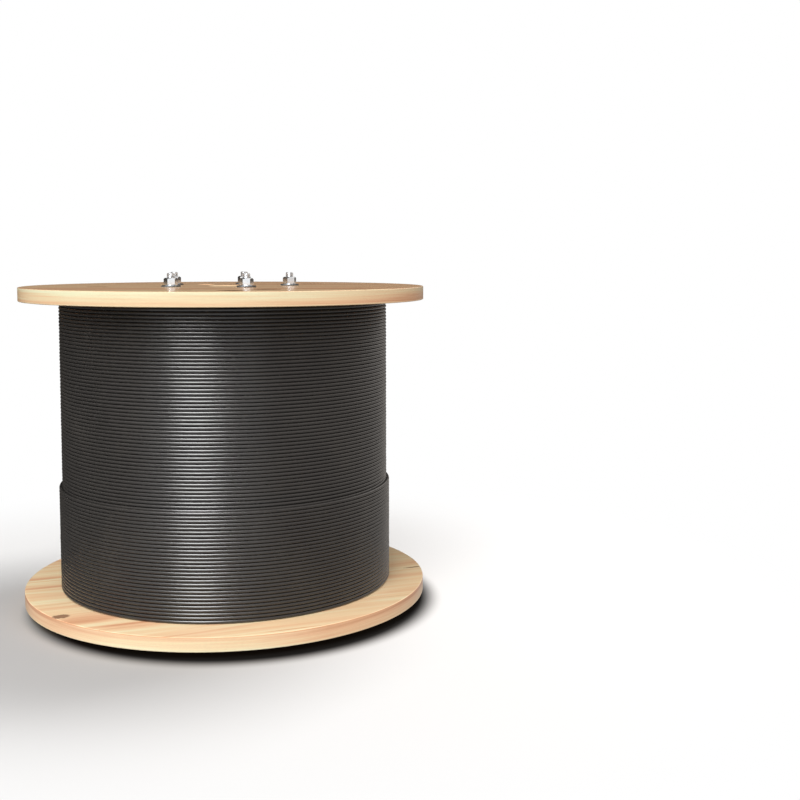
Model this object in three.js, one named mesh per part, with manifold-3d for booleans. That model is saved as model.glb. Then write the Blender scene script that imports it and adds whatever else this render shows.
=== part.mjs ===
// A wooden cable drum standing on end, wound with round black cable.
// Two edge-glued pine flanges are clamped by five tie bolts against a barrel of wooden staves, whose ends
// sit in a groove in each flange. The cable is wound on the barrel in nested layers, and the last layer is
// part-filled. Units are millimetres. The drum's axis is +Z, and z = 0 is the level floor under the heads.
import * as THREE from "three";
import { mergeVertices } from "three/addons/utils/BufferGeometryUtils.js";
import Module from "manifold-3d";

// ---- driving dimensions ---------------------------------------------------------------------------------

// flanges
const FLANGE_DIAMETER = 600;
const FLANGE_THICKNESS = 20;
const RIM_ROUNDING = 2;
const TRAVERSE = 425; // clear width between the flanges
const SPINDLE_BORE_DIAMETER = 52;
const DRIVE_HOLE_DIAMETER = 26;
const DRIVE_HOLE_CIRCLE_DIAMETER = 196;

// cable and its winding
const CABLE_DIAMETER = 5;
const TURN_PITCH = 5.05; // from one turn to the next in a layer
const FULL_LAYERS = 25;
const LAST_LAYER_TURNS = 30; // the part-filled layer, wound up from the lower flange
const WINDING_END_GAP = 0.4; // between the winding and each flange
const WINDING_BORE_CLEARANCE = 0.3; // between the barrel and the first layer
const VALLEY_SPACING = 4; // turns from one cut valley to the next, up the side
const END_VALLEY_SPACING = 8; // layers from one cut valley to the next, across the ends
const VALLEY_WIDTH = 3; // what shows of the valley between two round turns
const VALLEY_DEPTH = 2;

// barrel
const BARREL_DIAMETER = 270;
const STAVE_COUNT = 16;
const STAVE_THICKNESS = 18; // at the middle of a stave, from its flat inner face
const STAVE_GAP = 0.6; // between neighbouring staves
const GROOVE_DEPTH = 6; // how far the staves sit in each flange
const GROOVE_CLEARANCE = 0.3; // beside the staves

// tie bolts, each with a mushroom head and a square neck
const BOLT_COUNT = 5;
const BOLT_CIRCLE_DIAMETER = 194;
const BOLT_DIAMETER = 12;
const BOLT_HEAD_DIAMETER = 43;
const BOLT_HEAD_HEIGHT = 10;
const BOLT_HEAD_EDGE = 1.5; // the upright edge under the dome
const BOLT_CROWN_DIAMETER = 12; // the flat on the dome, which the drum stands on
const BOLT_NECK_WIDTH = 12;
const BOLT_NECK_LENGTH = 8;
const BOLT_END_LENGTH = 7; // what stands out of the nut
const BOLT_END_CHAMFER = 1.5;
const BOLT_HOLE_CLEARANCE = 0.5; // all round the shank, in the flanges
const THREAD_CLEARANCE = 0.3; // all round the shank, in nut and washer
const NECK_CLEARANCE = 0.3; // round the neck and under it, in its square socket

// nuts and washers
const NUT_ACROSS_FLATS = 18;
const NUT_HEIGHT = 10.8;
const NUT_CHAMFER_RISE = 1.6; // height of the chamfer at a nut's corners
const NUT_CHAMFER_INSET = 0.6; // how far inside the flats the chamfer ends
const NUT_TURNS = [6, -9, 3, -2, 7]; // degrees that the spanner left each nut turned by
const WASHER_DIAMETER = 28;
const WASHER_THICKNESS = 2.5;

// facets round a full circle
const FACETS_PER_STAVE = 3;
const BOLT_FACETS = 18;
const HOLE_FACETS = 24;
const ROUNDING_STEPS = 2; // in each rounded edge
const DOME_STEPS = 4;

// ---- what follows from them -----------------------------------------------------------------------------

const flangeRadius = FLANGE_DIAMETER / 2;
const barrelRadius = BARREL_DIAMETER / 2;
const staveInnerDistance = barrelRadius - STAVE_THICKNESS;
const staveAngle = (2 * Math.PI) / STAVE_COUNT;
const drumFacets = STAVE_COUNT * FACETS_PER_STAVE;
const boltCircleRadius = BOLT_CIRCLE_DIAMETER / 2;
const boltRadius = BOLT_DIAMETER / 2;
const boltHoleRadius = boltRadius + BOLT_HOLE_CLEARANCE;
const boltAngle = (2 * Math.PI) / BOLT_COUNT;
const driveHoleAngle = 1.5 * boltAngle; // midway between two bolts

// A layer nests in the valleys of the one below, so it rises by less than the cable's diameter.
const layerRise = Math.sqrt(CABLE_DIAMETER ** 2 - (TURN_PITCH / 2) ** 2);
const windingBoreRadius = barrelRadius + WINDING_BORE_CLEARANCE;
const fullLayersRadius = windingBoreRadius + CABLE_DIAMETER + (FULL_LAYERS - 1) * layerRise;
const lastLayerRadius = fullLayersRadius + layerRise;

// heights above the floor
const lowerFlangeOuter = BOLT_HEAD_HEIGHT;
const lowerFlangeInner = lowerFlangeOuter + FLANGE_THICKNESS;
const upperFlangeInner = lowerFlangeInner + TRAVERSE;
const upperFlangeOuter = upperFlangeInner + FLANGE_THICKNESS;
const nutSeat = upperFlangeOuter + WASHER_THICKNESS;
const boltEnd = nutSeat + NUT_HEIGHT + BOLT_END_LENGTH;

// ---- materials ------------------------------------------------------------------------------------------

const pine = new THREE.MeshStandardMaterial({ color: 0xf3ddb2, roughness: 0.65, metalness: 0 });
const barrelPine = new THREE.MeshStandardMaterial({ color: 0xe2c393, roughness: 0.75, metalness: 0 });
const cableSheath = new THREE.MeshStandardMaterial({ color: 0x24211f, roughness: 0.45, metalness: 0 });
const blackenedSteel = new THREE.MeshStandardMaterial({ color: 0x1a1a1c, roughness: 0.25, metalness: 0.6 });
const zincedSteel = new THREE.MeshStandardMaterial({ color: 0xc9ccce, roughness: 0.3, metalness: 1 });

// ---- shape helpers --------------------------------------------------------------------------------------

const OVERCUT = 1; // how far a cutting tool passes the face that it opens

const wasm = await Module();
wasm.setup();

// A closed geometry as a manifold-3d solid.
function solidOf(geometry) {
  const bare = geometry.clone();
  bare.deleteAttribute("normal");
  bare.deleteAttribute("uv");
  const merged = mergeVertices(bare, 1e-4);
  return new wasm.Manifold(
    new wasm.Mesh({
      numProp: 3,
      vertProperties: new Float32Array(merged.attributes.position.array),
      triVerts: new Uint32Array(merged.index.array),
    }),
  );
}

// A manifold-3d solid as a flat-shaded geometry.
function geometryOf(solid) {
  const { vertProperties, triVerts } = solid.getMesh();
  const geometry = new THREE.BufferGeometry();
  geometry.setAttribute("position", new THREE.BufferAttribute(vertProperties, 3));
  geometry.setIndex(new THREE.BufferAttribute(triVerts, 1));
  const facets = geometry.toNonIndexed();
  facets.computeVertexNormals();
  return facets;
}

// Turns a profile of [radius, height] points about +Z, with its first corner on +X. The profile runs up its
// outside, and it starts and ends on the axis or closes on itself.
function turned(profile, facets) {
  const points = profile.map(([radius, height]) => new THREE.Vector2(radius, height));
  return new THREE.LatheGeometry(points, facets).rotateX(Math.PI / 2).rotateZ(Math.PI / 2);
}

// The closed profile of a plain ring.
function ringProfile(inner, outer, low, high) {
  return [
    [inner, low],
    [outer, low],
    [outer, high],
    [inner, high],
    [inner, low],
  ];
}

// A round plug between two heights.
function plug(radius, low, high, facets) {
  return turned([[0, low], [radius, low], [radius, high], [0, high]], facets);
}

// The points of an arc in a profile, from one angle to another in degrees, both ends included.
function arc(centreRadius, centreHeight, radius, from, to, steps) {
  return Array.from({ length: steps + 1 }, (_, i) => {
    const angle = THREE.MathUtils.degToRad(from + ((to - from) * i) / steps);
    return [centreRadius + radius * Math.cos(angle), centreHeight + radius * Math.sin(angle)];
  });
}

// An outline in the XY plane, raised from one height to another.
function prism(outline, low, high) {
  const shape = new THREE.Shape(outline.map(([x, y]) => new THREE.Vector2(x, y)));
  return new THREE.ExtrudeGeometry(shape, { depth: high - low, bevelEnabled: false }).translate(0, 0, low);
}

// A square or hexagon by the distance across its flats. Its first corner lies on +X.
function polygon(sides, acrossFlats) {
  const cornerRadius = acrossFlats / 2 / Math.cos(Math.PI / sides);
  return Array.from({ length: sides }, (_, i) => {
    const angle = (2 * Math.PI * i) / sides;
    return [cornerRadius * Math.cos(angle), cornerRadius * Math.sin(angle)];
  });
}

// Where a circle about the drum's axis carries a hole or bolt.
function onCircle(radius, angle) {
  return [radius * Math.cos(angle), radius * Math.sin(angle), 0];
}

// ---- the pieces -----------------------------------------------------------------------------------------

// A flange at its height: a disc with rounded rim edges, the spindle bore, the staves' groove in its inner
// face, the drive hole and the bolt holes. The flange on the heads' side also has their square sockets.
function flangeGeometry(low, { grooveUp, sockets }) {
  const high = low + FLANGE_THICKNESS;
  const inset = flangeRadius - RIM_ROUNDING;
  const disc = turned(
    [
      [SPINDLE_BORE_DIAMETER / 2, low],
      ...arc(inset, low + RIM_ROUNDING, RIM_ROUNDING, -90, 0, ROUNDING_STEPS),
      ...arc(inset, high - RIM_ROUNDING, RIM_ROUNDING, 0, 90, ROUNDING_STEPS),
      [SPINDLE_BORE_DIAMETER / 2, high],
      [SPINDLE_BORE_DIAMETER / 2, low],
    ],
    drumFacets,
  );

  const grooveWalls = [staveInnerDistance - GROOVE_CLEARANCE, barrelRadius + GROOVE_CLEARANCE];
  const grooveHeights = grooveUp
    ? [high - GROOVE_DEPTH, high + OVERCUT]
    : [low - OVERCUT, low + GROOVE_DEPTH];
  const groove = turned(ringProfile(...grooveWalls, ...grooveHeights), drumFacets);
  const driveHole = plug(DRIVE_HOLE_DIAMETER / 2, low - OVERCUT, high + OVERCUT, HOLE_FACETS);
  driveHole.translate(...onCircle(DRIVE_HOLE_CIRCLE_DIAMETER / 2, driveHoleAngle));

  const cuts = [groove, driveHole];
  for (let i = 0; i < BOLT_COUNT; i++) {
    const place = onCircle(boltCircleRadius, i * boltAngle);
    cuts.push(plug(boltHoleRadius, low - OVERCUT, high + OVERCUT, BOLT_FACETS).translate(...place));
    if (sockets) {
      const socket = prism(
        polygon(4, BOLT_NECK_WIDTH + 2 * NECK_CLEARANCE),
        low - OVERCUT,
        low + BOLT_NECK_LENGTH + NECK_CLEARANCE,
      );
      cuts.push(socket.translate(...place));
    }
  }
  return geometryOf(cuts.reduce((solid, cut) => solid.subtract(solidOf(cut)), solidOf(disc)));
}

// One stave, centred on +X: a flat inner face, radial sides and an outer face rounded to the barrel.
function staveGeometry() {
  const half = staveAngle / 2;
  const sideOffset = STAVE_GAP / 2;
  const outerHalf = half - Math.asin(sideOffset / barrelRadius);
  const innerHalfWidth = staveInnerDistance * Math.tan(half) - sideOffset / Math.cos(half);
  const facetAngle = staveAngle / FACETS_PER_STAVE;
  const between = Array.from({ length: FACETS_PER_STAVE - 1 }, (_, i) => (i + 1) * facetAngle - half);
  const outer = [-outerHalf, ...between, outerHalf];
  const outline = [
    [staveInnerDistance, -innerHalfWidth],
    ...outer.map((angle) => [barrelRadius * Math.cos(angle), barrelRadius * Math.sin(angle)]),
    [staveInnerDistance, innerHalfWidth],
  ];
  return prism(outline, lowerFlangeInner - GROOVE_DEPTH, upperFlangeInner + GROOVE_DEPTH);
}

// The valleys between turns up a stretch of the winding's side, as points of its profile. One in 4 is cut.
function sideValleys(radius, from, to) {
  const points = [];
  const spacing = VALLEY_SPACING * TURN_PITCH;
  for (let height = from + spacing; height < to - TURN_PITCH; height += spacing) {
    points.push(
      [radius, height - VALLEY_WIDTH / 2],
      [radius - VALLEY_DEPTH, height],
      [radius, height + VALLEY_WIDTH / 2],
    );
  }
  return points;
}

// The valleys between layers across an end of the winding, from the bore outwards. One in eight is cut.
function endValleys(height, inward) {
  const points = [];
  for (let layer = END_VALLEY_SPACING; layer < FULL_LAYERS - 1; layer += END_VALLEY_SPACING) {
    const radius = windingBoreRadius + CABLE_DIAMETER / 2 + (layer - 0.5) * layerRise;
    points.push(
      [radius - VALLEY_WIDTH / 2, height],
      [radius, height + inward * VALLEY_DEPTH],
      [radius + VALLEY_WIDTH / 2, height],
    );
  }
  return points;
}

// The wound cable as one turned solid, with the part-filled last layer standing proud of the full layers.
// Its outer corners follow the round end turns. The full layers' turns lie half a pitch off the last
// layer's.
function windingGeometry() {
  const low = lowerFlangeInner + WINDING_END_GAP;
  const high = upperFlangeInner - WINDING_END_GAP;
  const lastLayerTop = low + LAST_LAYER_TURNS * TURN_PITCH;
  const turnRadius = CABLE_DIAMETER / 2;
  return turned(
    [
      [windingBoreRadius, low],
      ...endValleys(low, 1),
      ...arc(lastLayerRadius - turnRadius, low + turnRadius, turnRadius, -90, 0, ROUNDING_STEPS),
      ...sideValleys(lastLayerRadius, low, lastLayerTop),
      ...arc(lastLayerRadius - turnRadius, lastLayerTop - turnRadius, turnRadius, 0, 90, ROUNDING_STEPS),
      [fullLayersRadius, lastLayerTop],
      ...sideValleys(fullLayersRadius, lastLayerTop + TURN_PITCH / 2, high),
      ...arc(fullLayersRadius - turnRadius, high - turnRadius, turnRadius, 0, 90, ROUNDING_STEPS),
      ...endValleys(high, -1).reverse(),
      [windingBoreRadius, high],
      [windingBoreRadius, low],
    ],
    drumFacets,
  );
}

// A tie bolt standing on its head: the dome's crown, its edge, the shank and the chamfered end are turned in
// one profile, and the square neck is joined to it.
function tieBoltGeometry() {
  const headRadius = BOLT_HEAD_DIAMETER / 2;
  const crownRadius = BOLT_CROWN_DIAMETER / 2;
  const edgeHeight = BOLT_HEAD_HEIGHT - BOLT_HEAD_EDGE;
  // the sphere about the bolt's axis that passes through the crown's rim and the dome's edge
  const centre = (headRadius ** 2 + edgeHeight ** 2 - crownRadius ** 2) / (2 * edgeHeight);
  const sphere = Math.hypot(crownRadius, centre);
  const fromCrown = THREE.MathUtils.radToDeg(Math.atan2(-centre, crownRadius));
  const toEdge = THREE.MathUtils.radToDeg(Math.atan2(edgeHeight - centre, headRadius));
  const body = turned(
    [
      [0, 0],
      ...arc(0, centre, sphere, fromCrown, toEdge, DOME_STEPS),
      [headRadius, BOLT_HEAD_HEIGHT],
      [boltRadius, BOLT_HEAD_HEIGHT],
      [boltRadius, boltEnd - BOLT_END_CHAMFER],
      [boltRadius - BOLT_END_CHAMFER, boltEnd],
      [0, boltEnd],
    ],
    BOLT_FACETS,
  );
  const rooted = BOLT_HEAD_HEIGHT - BOLT_HEAD_EDGE / 2; // the neck starts inside the head
  const neck = prism(polygon(4, BOLT_NECK_WIDTH), rooted, BOLT_HEAD_HEIGHT + BOLT_NECK_LENGTH);
  return geometryOf(solidOf(body).add(solidOf(neck)));
}

// A washer, lying on z = 0.
function washerGeometry() {
  const profile = ringProfile(boltRadius + THREAD_CLEARANCE, WASHER_DIAMETER / 2, 0, WASHER_THICKNESS);
  return turned(profile, BOLT_FACETS);
}

// A hexagon nut, lying on z = 0, with its corners chamfered at both ends.
function nutGeometry() {
  const cornerRadius = NUT_ACROSS_FLATS / 2 / Math.cos(Math.PI / 6);
  const chamfered = turned(
    [
      [0, 0],
      [NUT_ACROSS_FLATS / 2 - NUT_CHAMFER_INSET, 0],
      [cornerRadius, NUT_CHAMFER_RISE],
      [cornerRadius, NUT_HEIGHT - NUT_CHAMFER_RISE],
      [NUT_ACROSS_FLATS / 2 - NUT_CHAMFER_INSET, NUT_HEIGHT],
      [0, NUT_HEIGHT],
    ],
    BOLT_FACETS,
  );
  const hexagon = prism(polygon(6, NUT_ACROSS_FLATS), 0, NUT_HEIGHT);
  const bore = plug(boltRadius + THREAD_CLEARANCE, -OVERCUT, NUT_HEIGHT + OVERCUT, BOLT_FACETS);
  return geometryOf(solidOf(hexagon).intersect(solidOf(chamfered)).subtract(solidOf(bore)));
}

// ---- the drum -------------------------------------------------------------------------------------------

const drum = new THREE.Group();

function addPiece(name, geometry, material) {
  const mesh = new THREE.Mesh(geometry, material);
  mesh.name = name;
  drum.add(mesh);
  return mesh;
}

addPiece("flange_lower", flangeGeometry(lowerFlangeOuter, { grooveUp: true, sockets: true }), pine);
addPiece("flange_upper", flangeGeometry(upperFlangeInner, { grooveUp: false, sockets: false }), pine);
addPiece("cable_winding", windingGeometry(), cableSheath);

const stave = staveGeometry();
for (let i = 0; i < STAVE_COUNT; i++) {
  // a joint between staves lies on +X, so that their corners meet those of the turned pieces
  addPiece(`barrel_stave_${i + 1}`, stave, barrelPine).rotation.z = (i + 0.5) * staveAngle;
}

const tieBolt = tieBoltGeometry();
const washer = washerGeometry();
const nut = nutGeometry();
for (let i = 0; i < BOLT_COUNT; i++) {
  const place = onCircle(boltCircleRadius, i * boltAngle);
  addPiece(`tie_bolt_${i + 1}`, tieBolt, blackenedSteel).position.set(...place);
  addPiece(`washer_${i + 1}`, washer, zincedSteel).position.set(place[0], place[1], upperFlangeOuter);
  const fitted = addPiece(`nut_${i + 1}`, nut, zincedSteel);
  fitted.position.set(place[0], place[1], nutSeat);
  fitted.rotation.z = THREE.MathUtils.degToRad(NUT_TURNS[i % NUT_TURNS.length]);
}

export default drum;
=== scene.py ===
"""A wooden cable drum on end: pine flanges, black cable wound turn by turn, zinc-plated nuts and threads."""
import math

import bpy
import numpy as np
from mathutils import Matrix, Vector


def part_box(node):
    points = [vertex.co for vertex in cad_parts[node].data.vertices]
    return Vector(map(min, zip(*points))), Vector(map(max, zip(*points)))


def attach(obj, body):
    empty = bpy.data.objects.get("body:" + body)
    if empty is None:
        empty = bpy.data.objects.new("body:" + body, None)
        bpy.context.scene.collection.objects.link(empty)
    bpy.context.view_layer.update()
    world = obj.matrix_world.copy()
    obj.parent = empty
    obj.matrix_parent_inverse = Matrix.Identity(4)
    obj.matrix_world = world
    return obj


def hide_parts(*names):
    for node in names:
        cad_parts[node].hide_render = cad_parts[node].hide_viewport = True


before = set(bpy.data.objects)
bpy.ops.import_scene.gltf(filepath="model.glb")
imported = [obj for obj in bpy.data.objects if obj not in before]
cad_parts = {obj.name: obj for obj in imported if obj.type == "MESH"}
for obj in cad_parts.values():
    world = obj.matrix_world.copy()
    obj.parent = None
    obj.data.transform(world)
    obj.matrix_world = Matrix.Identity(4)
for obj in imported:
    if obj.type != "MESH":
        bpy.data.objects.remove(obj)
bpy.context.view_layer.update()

MM = 0.001  # sizes below are in millimetres unless they say metres, and Blender's are in metres


def box_mm(node_name):
    """The lowest and highest corner of a solid, in millimetres."""
    low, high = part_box(node_name)
    return np.array(low) / MM, np.array(high) / MM


# ---- sizes -------------------------------------------------------------------------------------------

# the drum's heights and radii, from the frame
LOWER_OUTER, LOWER_INNER = (corner[2] for corner in box_mm("flange_lower"))
UPPER_INNER, UPPER_OUTER = (corner[2] for corner in box_mm("flange_upper"))
FLANGE_RADIUS = box_mm("flange_upper")[1][0]
LAST_LAYER_RADIUS = box_mm("cable_winding")[1][0]

# cable
CABLE_RADIUS = 2.5
TURN_PITCH = 5.05
TURNS_PER_LAYER = 84
LAST_LAYER_TURNS = 30
WINDING_END_GAP = 0.4
LAYER_RISE = math.sqrt((2 * CABLE_RADIUS) ** 2 - (TURN_PITCH / 2) ** 2)
LAST_LAYER_CENTRE = LAST_LAYER_RADIUS - CABLE_RADIUS
FULL_LAYER_CENTRE = LAST_LAYER_CENTRE - LAYER_RISE
INNER_LAYERS = 24
INNER_LAYERS_SINK = 1  # how far they end below the middle of the turns on them

# how the cable lies
CROSSING = 0.1  # share of a turn, at the drum's back, in which the cable steps over to the next turn
CROSSING_END = math.radians(108)  # where that stretch ends, counted from +X
STRAYING = 0.12  # how far a turn strays from its true place
STRAYING_WAVES = ((0.21, 1.0), (0.93, 0.7), (2.37, 0.45), (5.1, 0.2))  # waves per turn, and their size
COVERED_TURNS = 4  # of the full layer, on under the last layer's edge
ROUNDED_END = math.radians(84)  # how far round the cable's cut end goes

# barrel
BARREL_RADIUS = 135
WINDING_BORE_CLEARANCE = 0.3
STAVE_THICKNESS = 18
GROOVE_CLEARANCE = 0.3
GROOVE_DEPTH = 6

# flanges
SPINDLE_BORE_RADIUS = 26
DRIVE_HOLE_RADIUS = 13
DRIVE_HOLE_DISTANCE = 98
RIM_ROUNDING = 1.2
HOLE_CHAMFER = 0.8
BOARD_WIDTH = 137
BOARD_SEAMS = (-203, -66, 71, 208)  # across the grain, from the axis
SEAM_DEPTH = 0.3
LOWER_GRAIN_TURN = math.radians(13)
UPPER_GRAIN_TURN = math.radians(-9)

# tie bolts, nuts and washers, M12
BOLT_COUNT = 5
BOLT_CIRCLE_RADIUS = 97
BOLT_ANGLE = 2 * math.pi / BOLT_COUNT
BOLT_RADIUS = 6
BOLT_HOLE_RADIUS = 6.5
BOLT_END = box_mm("tie_bolt_1")[1][2]
BOLT_END_CHAMFER = 1.5
THREAD_PITCH = 1.75
THREAD_DEPTH = 0.61 * THREAD_PITCH
THREAD_LENGTH = 24
THREAD_ROOT = 0.25  # share of the pitch
THREAD_FLANK = 0.3125
HEAD_RADIUS = box_mm("tie_bolt_1")[1][0] - BOLT_CIRCLE_RADIUS
HEAD_EDGE = 1.5
HEAD_CHAMFER = 0.3
HEAD_CROWN_RADIUS = 6
NECK_WIDTH = 12
NECK_LENGTH = 8
NECK_SINK = 0.5  # into the head
NECK_CLEARANCE = 0.3
THREAD_CLEARANCE = 0.3
NUT_SEAT, NUT_TOP = (corner[2] for corner in box_mm("nut_1"))
NUT_ACROSS_FLATS = 18
NUT_CHAMFER_START = 8.4  # radius at which the chamfer leaves the end face
NUT_CHAMFER_RISE = 1.6  # at the corners
NUT_BORE_CHAMFER = 0.6
NUT_TURNS = (10, -9, 3, 5, -1)  # degrees
WASHER_RADIUS = 14
WASHER_ROUNDING = 0.5
WASHER_BORE_CHAMFER = 0.3

# how far a shape that cuts another one reaches past it
OVERCUT = 1
SEAM_OVERCUT = 5

# into how many parts round shapes are divided
FLANGE_SEGMENTS = 288
HOLE_SEGMENTS = 48
INNER_LAYERS_SEGMENTS = 144
STEPS_PER_TURN = 128
CABLE_SIDES = 10
ROUNDED_END_STEPS = 5
BOLT_SEGMENTS = 60
THREAD_ROWS_PER_PITCH = 12
NUT_SEGMENTS = 96
WASHER_SEGMENTS = 72

# ---- camera and light --------------------------------------------------------------------------------

CAMERA_DISTANCE = 1771
CAMERA_HEIGHT = 519
CAMERA_TURN = 8.6  # degrees right of the drum's axis
CAMERA_TILT = 4.46  # degrees below level
CAMERA_LENS = 51.9
CAMERA_SHIFT = -0.0667

# Softboxes as (azimuth from +X, elevation, distance, width, height, power, colour), in degrees,
# metres and watts.
SOFTBOXES = {
    "key_softbox": (-111, 43, 10, 5.4, 7.5, 790, "#FFFFFF"),
    "right_softbox": (-45, 29, 6, 3, 3, 98, "#FFF4EE"),
    "left_softbox": (-172, 20, 6, 3, 3, 120, "#FFFFFF"),
    "overhead_softbox": (-102, 66, 3, 1.4, 1.4, 22, "#FFFFFF"),
    "floor_softbox": (35, 62, 2.6, 1.2, 1.2, 78, "#FFFFFF"),
    "gloss_strip": (-112.5, 40, 2.3, 0.95, 2.2, 116, "#FFFFFF"),
}


def add_camera():
    data = bpy.data.cameras.new("camera")
    data.lens = CAMERA_LENS
    data.shift_y = CAMERA_SHIFT
    camera = bpy.data.objects.new("camera", data)
    camera.location = (0, -CAMERA_DISTANCE * MM, CAMERA_HEIGHT * MM)
    camera.rotation_euler = (math.radians(90 - CAMERA_TILT), 0, -math.radians(CAMERA_TURN))
    bpy.context.scene.collection.objects.link(camera)
    bpy.context.scene.camera = camera


def add_softbox(name):
    """A rectangular softbox aimed at the drum's middle."""
    azimuth, elevation, distance, width, height, power, colour = SOFTBOXES[name]
    data = bpy.data.lights.new(name, "AREA")
    data.shape = "RECTANGLE"
    data.size, data.size_y = width, height
    data.energy = power
    data.color = linear(colour)[:3]
    lamp = bpy.data.objects.new(name, data)
    turn, rise = math.radians(azimuth), math.radians(elevation)
    lamp.location = (
        distance * math.cos(rise) * math.cos(turn),
        distance * math.cos(rise) * math.sin(turn),
        distance * math.sin(rise) + UPPER_OUTER / 2 * MM,
    )
    lamp.rotation_euler = (math.radians(90) - rise, 0, turn + math.radians(90))
    bpy.context.scene.collection.objects.link(lamp)
    return lamp


def light_only(lamp, things):
    """Lets a lamp light only these objects."""
    lit = bpy.data.collections.new("lit_by_" + lamp.name)
    for thing in things:
        lit.objects.link(thing)
    lamp.light_linking.receiver_collection = lit


# ---- tools for materials -----------------------------------------------------------------------------


def linear(colour):
    """An sRGB hex colour as linear red, green, blue and full alpha."""
    channels = [int(colour[i : i + 2], 16) / 255 for i in (1, 3, 5)]
    return [c / 12.92 if c <= 0.04045 else ((c + 0.055) / 1.055) ** 2.4 for c in channels] + [1]


def new_material(name):
    """An empty node material, and its tree with nothing in it."""
    material = bpy.data.materials.new(name)
    material.use_nodes = True
    material.node_tree.nodes.clear()
    return material, material.node_tree


def node(tree, kind, inputs=(), **settings):
    """Adds a node with its settings. Inputs are values, hex colours, or nodes or sockets to link from."""
    made = tree.nodes.new("ShaderNode" + kind)
    for name, value in settings.items():
        setattr(made, name, value)
    for key, value in dict(inputs).items():
        if isinstance(value, bpy.types.Node):
            value = value.outputs[0]
        if isinstance(value, bpy.types.NodeSocket):
            tree.links.new(value, made.inputs[key])
        else:
            made.inputs[key].default_value = linear(value) if isinstance(value, str) else value
    return made


def calc(tree, operation, *values):
    """Arithmetic on numbers."""
    return node(tree, "Math", dict(enumerate(values)), operation=operation)


def vector(tree, operation, *values):
    """Arithmetic on vectors."""
    return node(tree, "VectorMath", dict(enumerate(values)), operation=operation)


def scaled(tree, value, factor):
    """A vector or a colour times a number."""
    return node(tree, "VectorMath", {0: value, "Scale": factor}, operation="SCALE")


def length(tree, value):
    """How long a vector is."""
    return vector(tree, "LENGTH", value).outputs["Value"]


def axes(tree, value):
    """The three numbers of a vector."""
    return node(tree, "SeparateXYZ", {0: value}).outputs


def remap(tree, value, from_range=(0, 1), to_range=(0, 1), curve="LINEAR"):
    """A number moved from one range to another and held inside it."""
    inputs = {"Value": value}
    inputs["From Min"], inputs["From Max"] = from_range
    inputs["To Min"], inputs["To Max"] = to_range
    return node(tree, "MapRange", inputs, interpolation_type=curve)


def blend(tree, share, first, second):
    """The first colour, or as share grows the second one."""
    return node(tree, "Mix", {0: share, 6: first, 7: second}, data_type="RGBA").outputs[2]


def ramp(tree, value, stops):
    """Colours at their places along a number."""
    made = node(tree, "ValToRGB", {0: value})
    elements = made.color_ramp.elements
    for i, (place, colour) in enumerate(stops):
        stop = elements[i] if i < len(elements) else elements.new(place)
        stop.position = place
        stop.color = linear(colour)
    return made


def noise(tree, place, scale, detail=2, **inputs):
    """Noise over a place. Its scale may differ along each axis."""
    if isinstance(scale, tuple):
        place, scale = vector(tree, "MULTIPLY", place, scale), 1
    return node(tree, "TexNoise", {"Vector": place, "Scale": scale, "Detail": detail, **inputs})


def bump(tree, height, strength):
    """Relief at most 0.1 mm high."""
    return node(tree, "Bump", {"Height": height, "Strength": strength, "Distance": 0.1 * MM})


def surface(tree, colour, roughness, relief, **inputs):
    """Gives a material its surface."""
    inputs = {"Base Color": colour, "Roughness": roughness, "Normal": relief, **inputs}
    node(tree, "OutputMaterial", {"Surface": node(tree, "BsdfPrincipled", inputs)})


# ---- tools for meshes --------------------------------------------------------------------------------


def grid_faces(rows, columns, close_rows=False, flip=False):
    """Quads over a grid of points that closes on itself along each row.

    Unless its last row also joins its first one, there is a face at either end.
    """
    i, j = np.meshgrid(np.arange(rows if close_rows else rows - 1), np.arange(columns), indexing="ij")
    i, j = i.ravel(), j.ravel()
    above, beside = (i + 1) % rows, (j + 1) % columns
    quads = [i * columns + j, i * columns + beside, above * columns + beside, above * columns + j]
    faces = np.stack(quads[::-1] if flip else quads, axis=1).tolist()
    if not close_rows:
        first, last = list(range(columns)), list(range((rows - 1) * columns, rows * columns))
        faces += [first, last[::-1]] if flip else [first[::-1], last]
    return faces


def round_angles(segments):
    return np.arange(segments) * 2 * math.pi / segments


def around(values, segments):
    """A grid with each of the values at every angle."""
    return np.repeat(np.array(values, float)[:, None], segments, 1)


def turned(profile, segments, closed=True):
    """Points and faces of a profile of (radius, height) turned about +Z. It runs up its outside."""
    radii, heights = zip(*profile)
    return raised(around(radii, segments), around(heights, segments), round_angles(segments), closed)


def raised(radii, heights, angles, closed=True, flip=False):
    """Points and faces of a surface about +Z, from its radius, height and angle on a grid."""
    points = np.stack([radii * np.cos(angles), radii * np.sin(angles), heights], axis=-1)
    return points.reshape(-1, 3), grid_faces(*radii.shape, closed, flip)


def arc(radius, height, size, start, end, steps):
    """Points of an arc in a profile, between two angles in degrees."""
    angles = np.radians(np.linspace(start, end, steps + 1))
    return [(radius + size * math.cos(a), height + size * math.sin(a)) for a in angles]


def joined(*shapes):
    """Several (points, faces) as one."""
    points, faces = [], []
    for more_points, more_faces in shapes:
        start = sum(len(p) for p in points)
        points.append(more_points)
        faces += [[start + index for index in face] for face in more_faces]
    return np.concatenate(points), faces


def moved(shape, offset):
    """A shape moved by an offset."""
    return shape[0] + np.array(offset, float), shape[1]


def on_circle(radius, angle):
    return radius * math.cos(angle), radius * math.sin(angle), 0


def new_object(name, shape, materials=()):
    points, faces = shape
    mesh = bpy.data.meshes.new(name)
    mesh.from_pydata((points * MM).tolist(), [], faces)
    for material in materials:
        mesh.materials.append(material)
    thing = bpy.data.objects.new(name, mesh)
    bpy.context.scene.collection.objects.link(thing)
    return thing


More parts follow.
